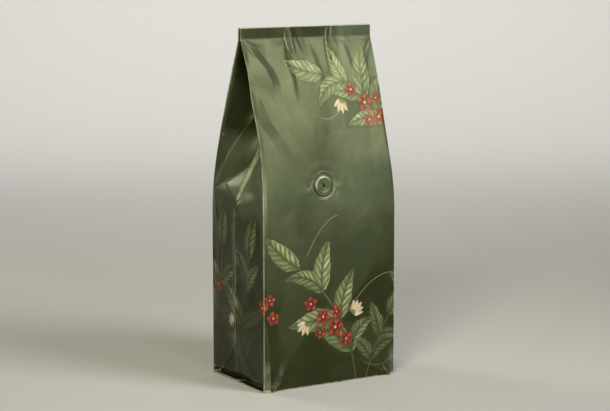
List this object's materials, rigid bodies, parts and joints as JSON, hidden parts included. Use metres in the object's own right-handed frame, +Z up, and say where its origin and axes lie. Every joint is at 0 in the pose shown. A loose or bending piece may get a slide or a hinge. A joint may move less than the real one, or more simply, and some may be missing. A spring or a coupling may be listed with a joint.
{
  "type": "coffee bag",
  "caption": "Filled side-gusset coffee bag with a heat-sealed top, inward-folded gussets, a block bottom and a one-way valve in its front panel.",
  "frame": {"origin": "under the middle of the base, on the surface the bag stands on", "axes": "+Z up, -Y out of the front panel that carries the valve, +X to the right seen from the front"},
  "size_m": [0.1314, 0.0936, 0.2935],
  "materials": {
    "printed_film": "satin soft-touch laminate film, olive green with a printed foliage pattern, thin bright fold edges",
    "valve_film": "the same olive film pressed over a round one-way valve"
  },
  "bodies": {
    "root": {"bag": "printed_film", "valve": "valve_film"}
  },
  "joints": []
}
